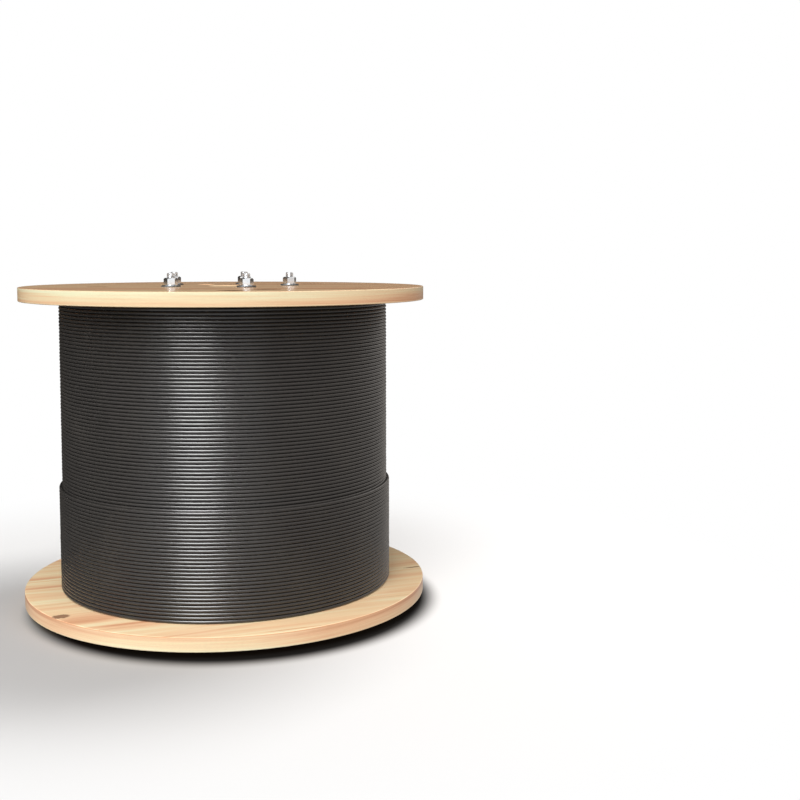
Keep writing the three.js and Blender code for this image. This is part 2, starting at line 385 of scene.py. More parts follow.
def add_piece(name, shape, materials, stands_for=None, sharp=35):
    """Adds a piece of the drum, smooth but for the edges sharper than an angle in degrees."""
    piece = new_object(name, shape, materials)
    shade(piece, sharp)
    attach(piece, "root")
    if stands_for:
        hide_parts(stands_for)
    return piece


def shade(piece, sharp):
    """Makes a piece smooth but for the edges sharper than an angle in degrees."""
    piece.data.polygons.foreach_set("use_smooth", [True] * len(piece.data.polygons))
    piece.data.set_sharp_from_angle(angle=math.radians(sharp))


def apply_modifiers(thing):
    """Makes the modifiers' result the object's own mesh."""
    result = bpy.data.meshes.new_from_object(thing.evaluated_get(bpy.context.evaluated_depsgraph_get()))
    old = thing.data
    thing.modifiers.clear()
    thing.data = result
    result.name = old.name
    bpy.data.meshes.remove(old)


def cut(thing, *tools):
    """Cuts shapes out of an object, one after another."""
    for shape in tools:
        tool = new_object("tool", shape)
        modifier = thing.modifiers.new("cut", "BOOLEAN")
        modifier.operation = "DIFFERENCE"
        modifier.solver = "EXACT"
        modifier.object = tool
        apply_modifiers(thing)
        mesh = tool.data
        bpy.data.objects.remove(tool)
        bpy.data.meshes.remove(mesh)


# ---- pine --------------------------------------------------------------------------------------------

# Knots as (along the grain, across it, half length, half width), in the boards' plane.
LOWER_KNOTS = (
    (174, 92, 28, 9),
    (43, -32, 8, 5),
    (-1, -139, 11, 9),
    (-150, 150, 12, 8),
    (60, 238, 9, 6),
)
UPPER_KNOTS = (
    (-178, -62, 14, 9),
    (120, 128, 17, 10),
    (204, -128, 9, 6),
    (-60, 212, 7, 5),
    (-20, -222, 10, 7),
    # painted reflection: these two knots, with the dark pockets in them, stand for the front nut's dark
    # reflection
    (49, -245, 20, 14),
    (84, -184, 21, 14),
)
# Pockets of bark and the dark cores of dead knots, in the same way.
LOWER_POCKETS = ((-262, -125, 14, 10), (163, 35, 13, 4), (279, -69, 16, 2.8))
# painted reflection: on the upper flange the first two are the front nut's dark reflection in the top face
UPPER_POCKETS_AND_PAINTED_REFLECTION = ((49, -245, 15, 11), (84, -184, 16, 11), (-84, 96, 12, 4))
# Streaks of lighter or darker wood as (along, across, half length, half width, how much darker).
LOWER_STREAKS_AND_PAINTED_SHADE = (
    (-266, 79, 70, 8, 0.25),
    (-274, 27, 80, 10, 0.3),
    (-272, 52, 70, 9, -0.2),
    (-270, -50, 80, 15, -0.35),
    # partly real streak, partly painted shade: this darker streak lies along the winding's foot at the
    # front-left
    (-232, -150, 80, 26, 0.55),
    (-180, -198, 75, 22, 0.35),
    (154, 158, 60, 5, 0.4),
    (18, -292, 60, 2, 0.7),
    (215, -215, 90, 12, -0.25),
    (225, -182, 80, 10, 0.35),
)
UPPER_STREAKS = ((150, -160, 120, 13, 0.5), (-171, -176, 90, 12, 0.3))
FAR_OFF = 9.0  # in half sizes, where no knot or pocket is near

# How fast the wood varies per millimetre along the grain, across it and through the board.
BROAD_STREAKS = (0.0016, 0.034, 0.01)
NARROW_STREAKS = (0.0035, 0.12, 0.03)
FIBRES = (0.018, 0.9, 0.9)
RING_BENDS = (0.0022, 0.012, 0.012)
RING_STRENGTHS = (0.003, 0.02, 0.02)
RING_SPACING = 24
RING_STRAYING = 90
# How fast the rim varies per millimetre along X, Y and Z.
RIM_STREAKS = (0.004, 0.004, 0.22)
RIM_LINES = (0.012, 0.012, 1.4)
RIM_PAINTED_LIGHT_X = -55  # along X, where the rim is painted lightest, as where the light falls most
SEAM_SHADE = (1.1, 0.2)  # from a seam, where it starts to darken the wood and where it is darkest

# Tones run from 0, the lightest wood, to 1.
WOOD_COLOURS = ((0.0, "#F5F0C9"), (0.25, "#F5E0B6"), (0.5, "#F3D0A5"), (0.75, "#EDBE96"), (1.0, "#DCA37B"))
SEAM_COLOUR = "#A87C54"
RING_TONES = ((0.0, "#303030"), (0.86, "#D8D8D8"), (1.0, "#303030"))
# A knot's colours from its middle out.
KNOT_COLOURS = (
    (0.12, "#8E5F3C"),
    (0.26, "#E0B78C"),
    (0.45, "#CC9868"),
    (0.6, "#E3BB90"),
    (0.85, "#C08A60"),
    (1.0, "#A46F4A"),
)


def from_middle(tree, boards, x, y, half_length, half_width):
    """How far it is from the middle of a knot, a pocket or a streak, as a share of its half size."""
    offset = vector(tree, "SUBTRACT", boards, (x, y, 0))
    return length(tree, vector(tree, "MULTIPLY", offset, (1 / half_length, 1 / half_width, 0)))


def add_knots(tree, boards, across, knots):
    """The grain as it flows round the knots, and how far the nearest one is."""
    flow, nearest = across, FAR_OFF
    for knot in knots:
        distance = from_middle(tree, boards, *knot)
        pull = remap(tree, distance, (0.4, 4.5), (0.86, 0), "SMOOTHERSTEP")
        aside = calc(tree, "SUBTRACT", across, knot[1])
        flow = calc(tree, "SUBTRACT", flow, calc(tree, "MULTIPLY", aside, pull))
        nearest = calc(tree, "MINIMUM", nearest, distance)
    return flow, nearest


def nearest_pocket(tree, boards, pockets):
    nearest = FAR_OFF
    for pocket in pockets:
        nearest = calc(tree, "MINIMUM", nearest, from_middle(tree, boards, *pocket))
    return nearest


def add_streaks(tree, boards, streaks):
    """How much darker the streaks make the wood."""
    darker = 0.0
    for *size, change in streaks:
        distance = from_middle(tree, boards, *size)
        darker = calc(tree, "ADD", darker, remap(tree, distance, (0.3, 1), (change, 0), "SMOOTHSTEP"))
    return darker


def split_boards(tree, across, seed):
    """Each board's chance numbers, and how much the seams between the boards darken them."""
    number = calc(tree, "DIVIDE", calc(tree, "SUBTRACT", across, BOARD_SEAMS[0]), BOARD_WIDTH)
    seeded = calc(tree, "ADD", calc(tree, "FLOOR", number), seed)
    chance = node(tree, "TexWhiteNoise", {"W": seeded}, noise_dimensions="1D")
    off_centre = calc(tree, "SUBTRACT", calc(tree, "FRACT", number), 0.5)
    shade = [0.5 - distance / BOARD_WIDTH for distance in SEAM_SHADE]
    return chance, remap(tree, calc(tree, "ABSOLUTE", off_centre), shade, (0, 0.5))


def face_tone(tree, grain, flow, board_tone):
    """The tone of the boards' faces: streaks about 30 mm and 9 mm wide, and growth rings.

    The rings are cut flat, so each is wide, darkens slowly and ends sharply.
    """
    broad = noise(tree, grain, BROAD_STREAKS, Distortion=0.2)
    narrow = noise(tree, grain, NARROW_STREAKS)
    bends = noise(tree, grain, RING_BENDS, detail=1)
    bent = calc(tree, "MULTIPLY_ADD", bends, RING_STRAYING, flow)
    season = calc(tree, "FRACT", calc(tree, "MULTIPLY", bent, 1 / RING_SPACING))
    strengths = noise(tree, grain, RING_STRENGTHS, detail=1)
    strength = remap(tree, strengths, (0.4, 0.7), (0.05, 0.5))
    rings = calc(tree, "MULTIPLY", ramp(tree, season, RING_TONES), strength)
    tone = calc(tree, "MULTIPLY_ADD", broad, 1.2, board_tone)
    tone = calc(tree, "MULTIPLY_ADD", narrow, 0.6, tone)
    return calc(tree, "ADD", tone, rings)


def rim_tone(tree, place, heights, tones, painted_shade_span, painted_edge_light):
    """The tone of the rim, with streaks about 3 mm and 0.7 mm wide that run with the edge, and painted light
    and shade.
    """
    millimetres = scaled(tree, place, 1 / MM)
    streaks = noise(tree, millimetres, RIM_STREAKS, detail=3, Roughness=0.55)
    lines = noise(tree, millimetres, RIM_LINES)
    inwards = remap(tree, axes(tree, place)[2], [height * MM for height in heights])
    # painted shade: away from where it is painted lightest along X, the rim is painted warmer and darker
    off_light = calc(tree, "SUBTRACT", axes(tree, millimetres)[0], RIM_PAINTED_LIGHT_X)
    warm_painted_shade = remap(tree, calc(tree, "ABSOLUTE", off_light), painted_shade_span, (0, 0.3))
    # painted light at the inner edge: a positive amount paints shade, a negative one paints a highlight
    start, change = painted_edge_light
    edge = remap(tree, inwards, (start, start + 0.06), (0, change))
    # painted light and shade over the rim's height, lighter towards its outer edge
    tone = calc(tree, "ADD", remap(tree, inwards, (0, 1), tones), warm_painted_shade)
    tone = calc(tree, "ADD", tone, edge)
    tone = calc(tree, "MULTIPLY_ADD", streaks, 1.1, tone)
    return calc(tree, "MULTIPLY_ADD", lines, 0.5, tone)


def pine(
    name,
    grain_turn,
    seed,
    knots=(),
    pockets=(),
    streaks=(),
    rim=(0, 1),
    # painted light and shade on the rim, by its height and along X
    rim_painted_light=(-0.82, -0.13),
    painted_shade_span=(130, 260),
    # painted light or shade at the rim's inner edge
    painted_edge_light=(0.86, 0.0),
    pocket_colour="#80634B",
    painted_face_shade=0.0,
    upright=False,
):
    """Pine boards glued edge to edge and planed: a satin surface, whose faces can be painted darker as shade.

    Broad straight streaks from cream to tan, with one sharp side where a growth ring ends. Knots push them
    aside. Round the rim, from its outer to its inner height, the streaks run with the edge, and painted light
    and shade goes from the first of its tones to the second one. Its inner edge, from a share of its height
    on, is painted darker by an amount of its own as shade, and lighter as a painted highlight where that
    amount is negative. The rim is painted warmer and darker, as shade, between two distances along X from
    where it is painted lightest.
    """
    material, tree = new_material(name)
    place = node(tree, "TexCoord").outputs["Object"]
    along_grain = node(
        tree, "VectorRotate", {"Vector": place, "Angle": -grain_turn}, rotation_type="Z_AXIS"
    )
    boards = scaled(tree, along_grain, 1 / MM)
    along, across, through = axes(tree, boards)
    if upright:  # the grain of the staves runs up
        along, across, through = through, along, across

    flow, from_knot = add_knots(tree, boards, across, knots)
    from_pocket = nearest_pocket(tree, boards, pockets)
    ragged = noise(tree, boards, 0.25)
    chance, seam = split_boards(tree, across, seed)
    # painted shade: a positive amount paints the boards' faces darker
    board_tone = remap(tree, chance.outputs["Value"], (0, 1), (painted_face_shade - 0.55, painted_face_shade - 0.45))
    board_offset = scaled(tree, chance.outputs["Color"], 900)  # no two boards are of one trunk
    grain = vector(tree, "ADD", node(tree, "CombineXYZ", {0: along, 1: flow, 2: through}), board_offset)
    on_boards = calc(
        tree, "ADD", face_tone(tree, grain, flow, board_tone), add_streaks(tree, boards, streaks)
    )
    on_rim = rim_tone(tree, place, rim, rim_painted_light, painted_shade_span, painted_edge_light)
    facing = axes(tree, node(tree, "NewGeometry").outputs["Normal"])[2]
    on_face = 1.0 if upright else remap(tree, calc(tree, "ABSOLUTE", facing), (0.3, 0.7))
    tone = node(tree, "Mix", {0: on_face, 2: on_rim, 3: on_boards})

    fibres = noise(tree, grain, FIBRES, detail=4, Roughness=0.65)
    colour = scaled(tree, ramp(tree, tone, WOOD_COLOURS), remap(tree, fibres, (0.3, 0.7), (0.95, 1.02)))
    knot_place = calc(tree, "MULTIPLY_ADD", ragged, 0.3, from_knot)
    in_knot = remap(tree, knot_place, (1.35, 1.1), (0, on_face))
    colour = blend(tree, in_knot, colour, ramp(tree, knot_place, KNOT_COLOURS))
    pocket_place = calc(tree, "MULTIPLY_ADD", ragged, 0.8, from_pocket)
    in_pocket = remap(tree, pocket_place, (1.42, 1.1), (0, on_face))
    colour = blend(tree, in_pocket, colour, pocket_colour)
    colour = blend(tree, calc(tree, "MULTIPLY", seam, on_face), colour, SEAM_COLOUR)
    surface(tree, colour, remap(tree, fibres, (0, 1), (0.15, 0.25)), bump(tree, fibres, 0.25))
    return material


# ---- other materials ---------------------------------------------------------------------------------


def black_sheath():
    """Extruded black polyethylene: deep black, satin, with a faint drawn texture and a little dust."""
    material, tree = new_material("black_polyethylene_sheath")
    place = node(tree, "TexCoord").outputs["Object"]
    drawn = noise(tree, place, (35, 35, 1050), detail=3, Roughness=0.6)
    dust = noise(tree, place, 9, detail=4, Roughness=0.6)
    dusted = ramp(tree, dust, ((0.35, "#2A2827"), (0.6, "#302E2C"), (0.75, "#383532")))
    surface(tree, dusted, remap(tree, drawn, (0, 1), (0.2, 0.32)), bump(tree, drawn, 0.12), IOR=1.55)
    return material


def bright_zinc(name, darkest, palest, roughness):
    """Zinc plating on steel: pale, slightly uneven, with soft reflections, more blurred where it is rough."""
    material, tree = new_material(name)
    place = node(tree, "TexCoord").outputs["Object"]
    cloud = noise(tree, place, 260, detail=3, Roughness=0.6)
    colour = ramp(tree, cloud, ((0.3, darkest), (0.7, palest)))
    surface(tree, colour, remap(tree, cloud, (0, 1), roughness), bump(tree, cloud, 0.04), Metallic=1.0)
    return material


def black_lacquer():
    """Stove lacquer on the forged bolt heads: near black, wet gloss, with a slight orange peel."""
    material, tree = new_material("black_stove_lacquer")
    place = node(tree, "TexCoord").outputs["Object"]
    peel = noise(tree, place, 420)
    colour = ramp(tree, peel, ((0.3, "#08080A"), (0.7, "#101012")))
    surface(tree, colour, 0.1, bump(tree, peel, 0.08))
    return material


# ---- pieces ------------------------------------------------------------------------------------------


def flange_shape(low, high, groove_up):
    """The turned shape of a flange: rounded rim, chamfered spindle bore, and the groove for the staves."""
    edge = FLANGE_RADIUS - RIM_ROUNDING
    bore, chamfer = SPINDLE_BORE_RADIUS, HOLE_CHAMFER
    inner_wall = BARREL_RADIUS - STAVE_THICKNESS - GROOVE_CLEARANCE
    outer_wall = BARREL_RADIUS + GROOVE_CLEARANCE
    face, floor = (high, high - GROOVE_DEPTH) if groove_up else (low, low + GROOVE_DEPTH)
    groove = [(inner_wall, face), (inner_wall, floor), (outer_wall, floor), (outer_wall, face)]
    lower_face = [(bore, low + chamfer), (bore + chamfer, low)]
    upper_face = [(bore + chamfer, high), (bore, high - chamfer)]
    rim = arc(edge, low + RIM_ROUNDING, RIM_ROUNDING, -90, 0, 5)
    rim += arc(edge, high - RIM_ROUNDING, RIM_ROUNDING, 0, 90, 5)
    if groove_up:
        profile = lower_face + rim + groove[::-1] + upper_face
    else:
        profile = lower_face + groove + rim + upper_face
    return turned(profile, FLANGE_SEGMENTS)


def hole_tool(radius, low, high):
    """What is cut away for a round hole with chamfered edges through a board."""
    mouth = radius + HOLE_CHAMFER + OVERCUT
    profile = [
        (mouth, low - OVERCUT),
        (radius, low + HOLE_CHAMFER),
        (radius, high - HOLE_CHAMFER),
        (mouth, high + OVERCUT),
    ]
    return turned(profile, HOLE_SEGMENTS, closed=False)


def square_prism(half_width, low, high):
    """An upright prism whose corners lie on the axes."""
    corner = half_width * math.sqrt(2)
    return turned([(corner, low), (corner, high)], 4, closed=False)


def bar(start, end, half):
    """A slender square bar between two points, standing on its edge."""
    start, end = np.array(start, float), np.array(end, float)
    axis = (end - start) / np.linalg.norm(end - start)
    side = np.cross(axis, (0, 0, 1) if abs(axis[2]) < 0.5 else (1, 0, 0))
    side /= np.linalg.norm(side)
    lift = np.cross(side, axis)
    corners = [side * half, lift * half, -side * half, -lift * half]
    points = np.array([end + c for c in corners] + [start + c for c in corners])
    return points, grid_faces(2, 4)


def seam_tool(low, high, grain_turn):
    """Hairline grooves where two boards meet, on both faces."""
    along = np.array([math.cos(grain_turn), math.sin(grain_turn), 0])
    beside = np.array([-math.sin(grain_turn), math.cos(grain_turn), 0])
    grooves = []
    for seam in BOARD_SEAMS:
        reach = along * (math.sqrt(FLANGE_RADIUS**2 - seam**2) + SEAM_OVERCUT)
        for height in (low, high):
            middle = beside * seam + np.array([0, 0, height])
            grooves.append(bar(middle - reach, middle + reach, SEAM_DEPTH))
    return joined(*grooves)


def at_each_bolt(shape):
    """A shape once at each tie bolt, as one."""
    places = (on_circle(BOLT_CIRCLE_RADIUS, i * BOLT_ANGLE) for i in range(BOLT_COUNT))
    return joined(*(moved(shape, place) for place in places))


def add_flange(node_name, low, high, grain_turn, material, sockets):
    piece = add_piece(
        node_name.replace("flange", "pine_flange"),
        flange_shape(low, high, groove_up=sockets),
        [material],
        node_name,
    )
    between_bolts = on_circle(DRIVE_HOLE_DISTANCE, 1.5 * BOLT_ANGLE)
    drive_hole = moved(hole_tool(DRIVE_HOLE_RADIUS, low, high), between_bolts)
    tools = [joined(drive_hole, at_each_bolt(hole_tool(BOLT_HOLE_RADIUS, low, high)))]
    if sockets:
        depth = NECK_LENGTH + NECK_CLEARANCE
        tools.append(at_each_bolt(square_prism(NECK_WIDTH / 2 + NECK_CLEARANCE, low - OVERCUT, low + depth)))
    cut(piece, *tools, seam_tool(low, high, grain_turn))
    shade(piece, 30)
    piece.modifiers.new("even_shading", "WEIGHTED_NORMAL").keep_sharp = True
    return piece


def wander(turns, seed):
    """A small slow wander of the cable from its true place, along its turns."""
    chance = np.random.default_rng(seed)
    waves = sum(
        size * np.sin(2 * math.pi * (rate * turns + chance.random())) for rate, size in STRAYING_WAVES
    )
    return waves / sum(size for _, size in STRAYING_WAVES)


def smooth_step(share):
    share = np.clip(share, 0, 1)
    return share * share * (3 - 2 * share)


def cable_layer(turns, height, direction, centre, seed, round_end=False):
    """A stretch of cable wound turn by turn.

    It climbs from the layer below, then steps up or down once a turn, as its direction is 1 or -1.
    """
    count = int(round((turns + CROSSING) * STEPS_PER_TURN))
    turn = np.linspace(-CROSSING, turns, count + 1)
    whole = np.maximum(np.floor(turn), 0)
    level = whole + np.where(turn < 0, 0, smooth_step((turn - whole - 1 + CROSSING) / CROSSING))
    climb = smooth_step((turn + CROSSING) / CROSSING)
    radius = centre - LAYER_RISE * (1 - climb) + STRAYING * wander(turn, seed)
    lift = height + direction * TURN_PITCH * level + STRAYING * wander(turn, seed + 1) * climb
    girth = np.full(count + 1, CABLE_RADIUS)
    if round_end:
        bend = np.linspace(0, ROUNDED_END, ROUNDED_END_STEPS + 1)
        girth = np.append(girth, CABLE_RADIUS * np.cos(bend))
        turn = np.append(turn, turns + CABLE_RADIUS * np.sin(bend) / (2 * math.pi * centre))
        radius = np.append(radius, np.full(len(bend), radius[-1]))
        lift = np.append(lift, np.full(len(bend), lift[-1]))
    section = round_angles(CABLE_SIDES)
    away = radius[:, None] + girth[:, None] * np.cos(section)
    up = lift[:, None] + girth[:, None] * np.sin(section)
    angle = CROSSING_END + 2 * math.pi * turn[:, None]
    return raised(away, up, angle, closed=False, flip=True)


def inner_layers_shape(low, high):
    """The layers under the outermost turns, as one turned solid whose ends show each layer's turn."""
    bore = BARREL_RADIUS + WINDING_BORE_CLEARANCE
    lower_end, upper_end = [], []
    for layer in range(INNER_LAYERS):
        centre = bore + CABLE_RADIUS + layer * LAYER_RISE
        inset = CABLE_RADIUS + (layer % 2) * TURN_PITCH / 2
        lower_end = lower_end + arc(centre, low + inset, CABLE_RADIUS, -145, -35, 3)
        upper_end = arc(centre, high - inset, CABLE_RADIUS, 35, 145, 3) + upper_end
    lower_side, upper_side = LAST_LAYER_CENTRE - INNER_LAYERS_SINK, FULL_LAYER_CENTRE - INNER_LAYERS_SINK
    bottom, top = low + CABLE_RADIUS, high - CABLE_RADIUS
    step = low + (LAST_LAYER_TURNS - 0.5) * TURN_PITCH
    side = [(lower_side, bottom), (lower_side, step), (upper_side, step), (upper_side, top)]
    profile = [(bore, bottom)] + lower_end + side + upper_end + [(bore, top)]
    return turned(profile, INNER_LAYERS_SEGMENTS)


def add_winding():
    sheath = black_sheath()
    low, high = LOWER_INNER + WINDING_END_GAP, UPPER_INNER - WINDING_END_GAP
    # neighbouring layers lie half a pitch apart, each turn in the valley between two below
    highest = high - CABLE_RADIUS - TURN_PITCH / 2
    seen = TURNS_PER_LAYER - LAST_LAYER_TURNS
    full = cable_layer(seen + COVERED_TURNS, highest, -1, FULL_LAYER_CENTRE, seed=3)
    last_turns = LAST_LAYER_TURNS - CROSSING
    last = cable_layer(last_turns, low + CABLE_RADIUS, 1, LAST_LAYER_CENTRE, seed=8, round_end=True)
    inner = inner_layers_shape(low, high)
    return [
        add_piece("cable_inner_layers", inner, [sheath], "cable_winding", sharp=60),
        add_piece("cable_full_layer", full, [sheath], sharp=80),
        add_piece("cable_last_layer", last, [sheath], sharp=80),
    ]


def bolt_shape():
    """A tie bolt on its head: dome, square neck, shank, and a rolled thread with a chamfered end."""
    edge_height = LOWER_OUTER - HEAD_EDGE
    centre = (HEAD_RADIUS**2 + edge_height**2 - HEAD_CROWN_RADIUS**2) / (2 * edge_height)
    sphere = math.hypot(HEAD_CROWN_RADIUS, centre)
    start = math.degrees(math.atan2(-centre, HEAD_CROWN_RADIUS))
    end = math.degrees(math.atan2(edge_height - centre, HEAD_RADIUS))
    thread_start = BOLT_END - THREAD_LENGTH
    profile = arc(0, centre, sphere, start, end, 14) + [
        (HEAD_RADIUS, LOWER_OUTER - HEAD_CHAMFER),
        (HEAD_RADIUS - HEAD_CHAMFER, LOWER_OUTER),
        (BOLT_RADIUS, LOWER_OUTER),
        (BOLT_RADIUS, thread_start),
    ]
    radii, heights = zip(*profile)
    angles = round_angles(BOLT_SEGMENTS)
    count = int(THREAD_LENGTH / THREAD_PITCH * THREAD_ROWS_PER_PITCH)
    thread_heights = around(np.linspace(thread_start + 0.2, BOLT_END, count), BOLT_SEGMENTS)
    phase = (thread_heights / THREAD_PITCH - angles / (2 * math.pi)) % 1
    flank = np.clip((np.abs(phase - 0.5) - THREAD_ROOT / 2) / THREAD_FLANK, 0, 1)  # 0 at the root
    run_in = np.clip((thread_heights - thread_start) / (2 * THREAD_PITCH), 0, 1)
    thread = BOLT_RADIUS - THREAD_DEPTH * (1 - flank) * run_in
    thread = np.minimum(thread, BOLT_RADIUS - BOLT_END_CHAMFER + BOLT_END - thread_heights)
    all_radii = np.concatenate([around(radii, BOLT_SEGMENTS), thread])
    all_heights = np.concatenate([around(heights, BOLT_SEGMENTS), thread_heights])
    neck = square_prism(NECK_WIDTH / 2, LOWER_OUTER - NECK_SINK, LOWER_OUTER + NECK_LENGTH)
    return joined(raised(all_radii, all_heights, angles, closed=False), neck)


def nut_shape():
    """A hexagon nut with chamfered corners and a chamfered bore."""
    angles = round_angles(NUT_SEGMENTS)
    sixth = math.pi / 3
    flats = NUT_ACROSS_FLATS / 2 / np.cos(angles % sixth - sixth / 2)
    rise = NUT_CHAMFER_RISE * (flats - NUT_CHAMFER_START) / (flats.max() - NUT_CHAMFER_START)
    bore = BOLT_RADIUS + THREAD_CLEARANCE
    rows = [
        (bore, NUT_SEAT + NUT_BORE_CHAMFER),
        (bore + NUT_BORE_CHAMFER, NUT_SEAT),
        (NUT_CHAMFER_START, NUT_SEAT),
        (flats, NUT_SEAT + rise),
        (flats, NUT_TOP - rise),
        (NUT_CHAMFER_START, NUT_TOP),
        (bore + NUT_BORE_CHAMFER, NUT_TOP),
        (bore, NUT_TOP - NUT_BORE_CHAMFER),
    ]
    level = np.ones(NUT_SEGMENTS)
    radii, heights = (np.array([values * level for values in column]) for column in zip(*rows))
    return raised(radii, heights, angles)


def washer_shape():
    bore, chamfer = BOLT_RADIUS + THREAD_CLEARANCE, WASHER_BORE_CHAMFER
    edge = WASHER_RADIUS - WASHER_ROUNDING
    low, high = UPPER_OUTER, NUT_SEAT
    profile = [(bore, low + chamfer), (bore + chamfer, low)]
    profile += arc(edge, low + WASHER_ROUNDING, WASHER_ROUNDING, -90, 0, 3)
    profile += arc(edge, high - WASHER_ROUNDING, WASHER_ROUNDING, 0, 90, 3)
    profile += [(bore + chamfer, high), (bore, high - chamfer)]
    return turned(profile, WASHER_SEGMENTS)


def add_hardware():
    zinc = bright_zinc("bright_zinc_plating", "#E9EDF1", "#F4F6F8", (0.08, 0.13))
    rolled = bright_zinc("zinc_plated_rolled_thread", "#CDD1D5", "#E0E3E6", (0.3, 0.4))
    # painted shade: the washers' edges and bores are painted dark grey
    shaded_edge_zinc = bright_zinc("dull_zinc_painted_dark_at_edge", "#606163", "#78797B", (0.5, 0.62))
    lacquer = black_lacquer()
    bolt, nut, washer = bolt_shape(), nut_shape(), washer_shape()
    pieces = []
    for i, degrees in enumerate(NUT_TURNS):
        place = on_circle(BOLT_CIRCLE_RADIUS, i * BOLT_ANGLE)
        number = f"_{i + 1}"
        turn = math.radians(degrees)
        sine, cosine = math.sin(turn), math.cos(turn)
        turned_nut = nut[0] @ np.array([[cosine, sine, 0], [-sine, cosine, 0], [0, 0, 1]]), nut[1]
        for name, shape, slot, materials, stands_for in (
            ("threaded_tie_bolt", bolt, "tie_bolt", [rolled, lacquer], "tie_bolt"),
            ("plated_washer", washer, "nut_and_washer", [zinc, shaded_edge_zinc], "washer"),
            ("hexagon_nut", turned_nut, "nut_and_washer", [zinc], "nut"),
        ):
            piece = add_piece(name + number, moved(shape, place), materials, stands_for + number)
            pieces.append(piece)
            faces = piece.data.polygons
            if shape is bolt:  # lacquer on the head
                second = [int(face.center[2] < LOWER_OUTER * MM) for face in faces]
                faces.foreach_set("material_index", second)
            if shape is washer:  # dull, and painted dark as shade, round the edge and in the bore
                second = [int(abs(face.normal[2]) < 0.8) for face in faces]
                faces.foreach_set("material_index", second)
    return pieces


def dress_staves():
    sawn = pine("sawn_pine_staves", 0, seed=40, upright=True)
    for name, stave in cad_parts.items():
        if name.startswith("barrel_stave"):
            for slot in stave.material_slots:
                slot.material = sawn


# ---- stage -------------------------------------------------------------------------------------------

DAYLIGHT = 0.42  # strength of the light from all round
WHITE = "#FFFFFF"
BELOW_THE_FLOOR = "#CFCECD"  # the light from there, as a white floor throws it back

# the floor, in metres, and a shadow painted dark on it round the narrow gap under the drum
FLOOR_HALF_SIZE = 6
FLOOR_FADE = (0.4, 0.9)  # from the drum's axis, where the floor goes over into the background
FLOOR_COLOUR = "#C5C4C3"
PAINTED_SHADOW_MIDDLE = (0.011, -0.02, 0)
PAINTED_SHADOW_EDGE = (0.28, 0.318)  # from its middle, where the painted shadow starts to grow paler and where it ends
PAINTED_SHADOW_COLOUR = "#1E1D1C"

# What gloss shows of the studio by azimuth in degrees: its floor, and its walls low down and higher up.
FLOOR_SHADES = (
    (-180, "#7C7874"),
    (-150, "#9A9590"),
    (-134, "#FFFFFF"),
    (-74, "#FFFFFF"),
    (-58, "#B8B2AC"),
    (30, "#B8B2AC"),
    (70, "#C0BAB4"),
    (94, "#7C7874"),
    (108, "#38352F"),
    (134, "#4A4744"),
    (180, "#7C7874"),
)
LOW_WALLS = (
    (-180, "#827E7A"),
    (-150, "#AAA49E"),
    (-134, "#FFFFFF"),
    (-74, "#FFFFFF"),
    (-58, "#A8A29C"),
    (-20, "#8A8580"),
    (8, "#4A4846"),
    (40, "#4A4846"),
    (66, "#8A8580"),
    (78, "#12110F"),
    (104, "#12110F"),
    (114, "#38352F"),
    (134, "#403E3C"),
)
HIGH_WALLS = (
    (-180, "#D8D2CC"),
    (-150, "#E8E2DC"),
    (-134, "#FFFFFF"),
    (-74, "#FFFFFF"),
    (-58, "#DDD6CF"),
    (-35, "#F4EEE8"),
    (-15, "#D8D2CC"),
    (16, "#FFF6EE"),
    (40, "#FFFAF4"),
    (66, "#EEE7E0"),
    (78, "#12110F"),
    (104, "#12110F"),
    (114, "#4C4946"),
    (134, "#6E6A66"),
    (154, "#B2ABA4"),
)
WALLS_RISE = (0.04, 0.26)  # sine of the elevation at which the low walls end and the high ones begin


def walls(tree, direction, colours):
    """The colour of the studio's walls in a direction from the drum."""
    x, y, _ = axes(tree, direction)
    share = remap(tree, calc(tree, "ARCTAN2", y, x), (-math.pi, math.pi))
    return ramp(tree, share, [((turn + 180) / 360, colour) for turn, colour in colours])


def add_floor():
    """A pale floor that goes over into the white background, with a shadow painted round the gap under the
    drum.

    Its back lets everything through, so that the drum can be looked at from below. Diffuse and shadow rays
    pass it, so the light from all round also reaches the drum's underside.
    """
    size = FLOOR_HALF_SIZE / MM
    corners = np.array([[-size, -size, 0], [size, -size, 0], [size, size, 0], [-size, size, 0]])
    floor = new_object("floor", (corners, [[0, 1, 2, 3]]))
    material, tree = new_material("pale_floor")
    place = node(tree, "TexCoord").outputs["Object"]
    away = remap(tree, length(tree, place), FLOOR_FADE, curve="SMOOTHSTEP")
    # painted shadow: the floor is painted dark round the gap under the drum, off centre towards the front
    from_painted_shadow = length(tree, vector(tree, "SUBTRACT", place, PAINTED_SHADOW_MIDDLE))
    outside_painted_shadow = remap(tree, from_painted_shadow, PAINTED_SHADOW_EDGE, curve="SMOOTHSTEP")
    paint = node(tree, "BsdfDiffuse", {"Color": blend(tree, outside_painted_shadow, PAINTED_SHADOW_COLOUR, FLOOR_COLOUR)})
    path = node(tree, "LightPath").outputs
    straight = calc(tree, "MAXIMUM", path["Is Camera Ray"], path["Is Transmission Ray"])
    gloss = path["Is Glossy Ray"]
    shown = blend(tree, gloss, WHITE, walls(tree, place, FLOOR_SHADES))
    background = node(tree, "Emission", {"Color": shown, "Strength": 1.0})
    share = calc(tree, "MAXIMUM", calc(tree, "MULTIPLY", away, straight), gloss)
    front = node(tree, "MixShader", {0: share, 1: paint, 2: background})
    behind = node(tree, "NewGeometry").outputs["Backfacing"]
    one_sided = node(tree, "MixShader", {0: behind, 1: front, 2: node(tree, "BsdfTransparent")})
    node(tree, "OutputMaterial", {"Surface": one_sided})
    floor.data.materials.append(material)
    floor.visible_diffuse = floor.visible_shadow = False
    return floor


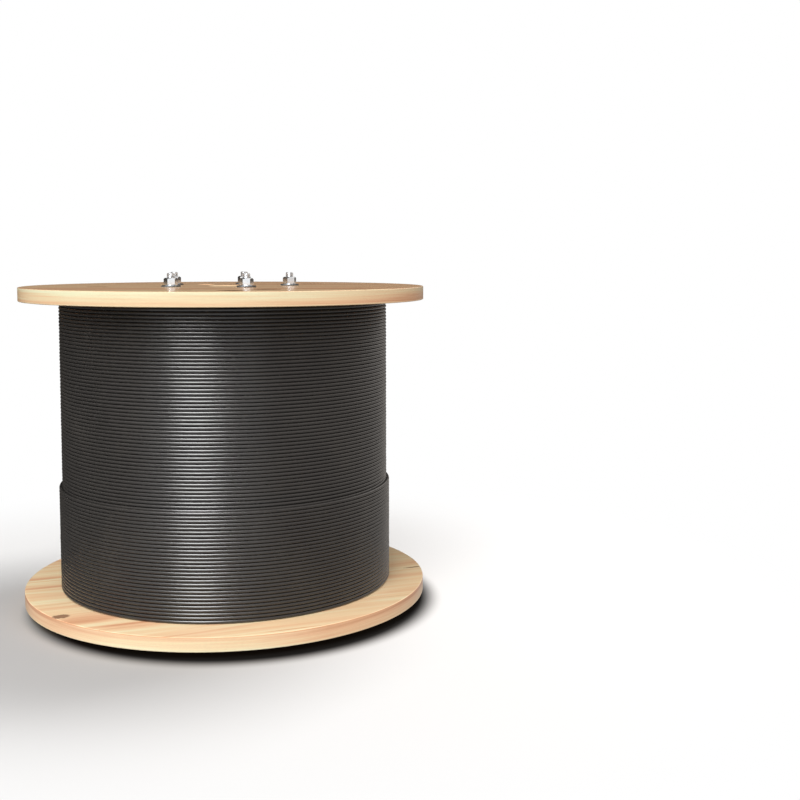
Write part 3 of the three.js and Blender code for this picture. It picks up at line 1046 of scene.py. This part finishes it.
def set_world():
    """A white studio. Gloss shows it white before the drum, and its other walls dim."""
    world = bpy.data.worlds.new("white_studio")
    world.use_nodes = True
    tree = world.node_tree
    tree.nodes.clear()
    direction = node(tree, "TexCoord").outputs["Generated"]
    height = axes(tree, direction)[2]
    up = remap(tree, height, WALLS_RISE, curve="SMOOTHSTEP")
    room = blend(tree, up, walls(tree, direction, LOW_WALLS), walls(tree, direction, HIGH_WALLS))
    path = node(tree, "LightPath").outputs
    gloss = path["Is Glossy Ray"]
    straight = calc(tree, "MAXIMUM", path["Is Camera Ray"], path["Is Transmission Ray"])
    seen = calc(tree, "MAXIMUM", straight, gloss)
    background = node(tree, "Background", {"Color": blend(tree, gloss, WHITE, room), "Strength": 1.0})
    thrown = blend(tree, calc(tree, "GREATER_THAN", height, 0.0), BELOW_THE_FLOOR, WHITE)
    daylight = node(tree, "Background", {"Color": thrown, "Strength": DAYLIGHT})
    node(tree, "OutputWorld", {"Surface": node(tree, "MixShader", {0: seen, 1: daylight, 2: background})})
    bpy.context.scene.world = world
    bpy.context.scene.view_settings.view_transform = "Standard"


def main():
    add_camera()
    set_world()
    sides = ("key_softbox", "right_softbox", "left_softbox", "overhead_softbox")
    lamps = {name: add_softbox(name) for name in sides}
    for lamp in lamps.values():
        lamp.visible_glossy = False  # gloss shows the studio instead
    light_only(add_softbox("floor_softbox"), [add_floor()])
    lower = pine(
        "planed_pine_lower",
        LOWER_GRAIN_TURN,
        seed=11,
        knots=LOWER_KNOTS,
        pockets=LOWER_POCKETS,
        streaks=LOWER_STREAKS_AND_PAINTED_SHADE,
        rim=(LOWER_OUTER, LOWER_INNER),
        # painted light and shade on the lower rim, by its height and along X
        rim_painted_light=(-0.66, -0.15),
        painted_shade_span=(85, 185),
        # painted shade along the lower rim's inner edge
        painted_edge_light=(0.92, 0.6),
        pocket_colour="#9C795E",
    )
    upper = pine(
        "planed_pine_upper",
        UPPER_GRAIN_TURN,
        seed=27,
        knots=UPPER_KNOTS,
        pockets=UPPER_POCKETS_AND_PAINTED_REFLECTION,
        streaks=UPPER_STREAKS,
        rim=(UPPER_OUTER, UPPER_INNER),
        # painted shade along X on the upper rim
        painted_shade_span=(150, 330),
        # painted highlight along the upper rim's inner edge
        painted_edge_light=(0.87, -0.4),
        # dark, as the painted reflection before the front nut
        pocket_colour="#54402F",
        # painted shade on the upper flange's faces, which look dark on its top
        painted_face_shade=0.2,
    )
    flanges = [
        add_flange("flange_lower", LOWER_OUTER, LOWER_INNER, LOWER_GRAIN_TURN, lower, sockets=True),
        add_flange("flange_upper", UPPER_INNER, UPPER_OUTER, UPPER_GRAIN_TURN, upper, sockets=False),
    ]
    dress_staves()
    winding = add_winding()
    light_only(lamps["left_softbox"], flanges + winding)
    light_only(lamps["overhead_softbox"], flanges[:1])
    strip = add_softbox("gloss_strip")
    strip.visible_diffuse = False
    light_only(strip, winding + add_hardware())


main()
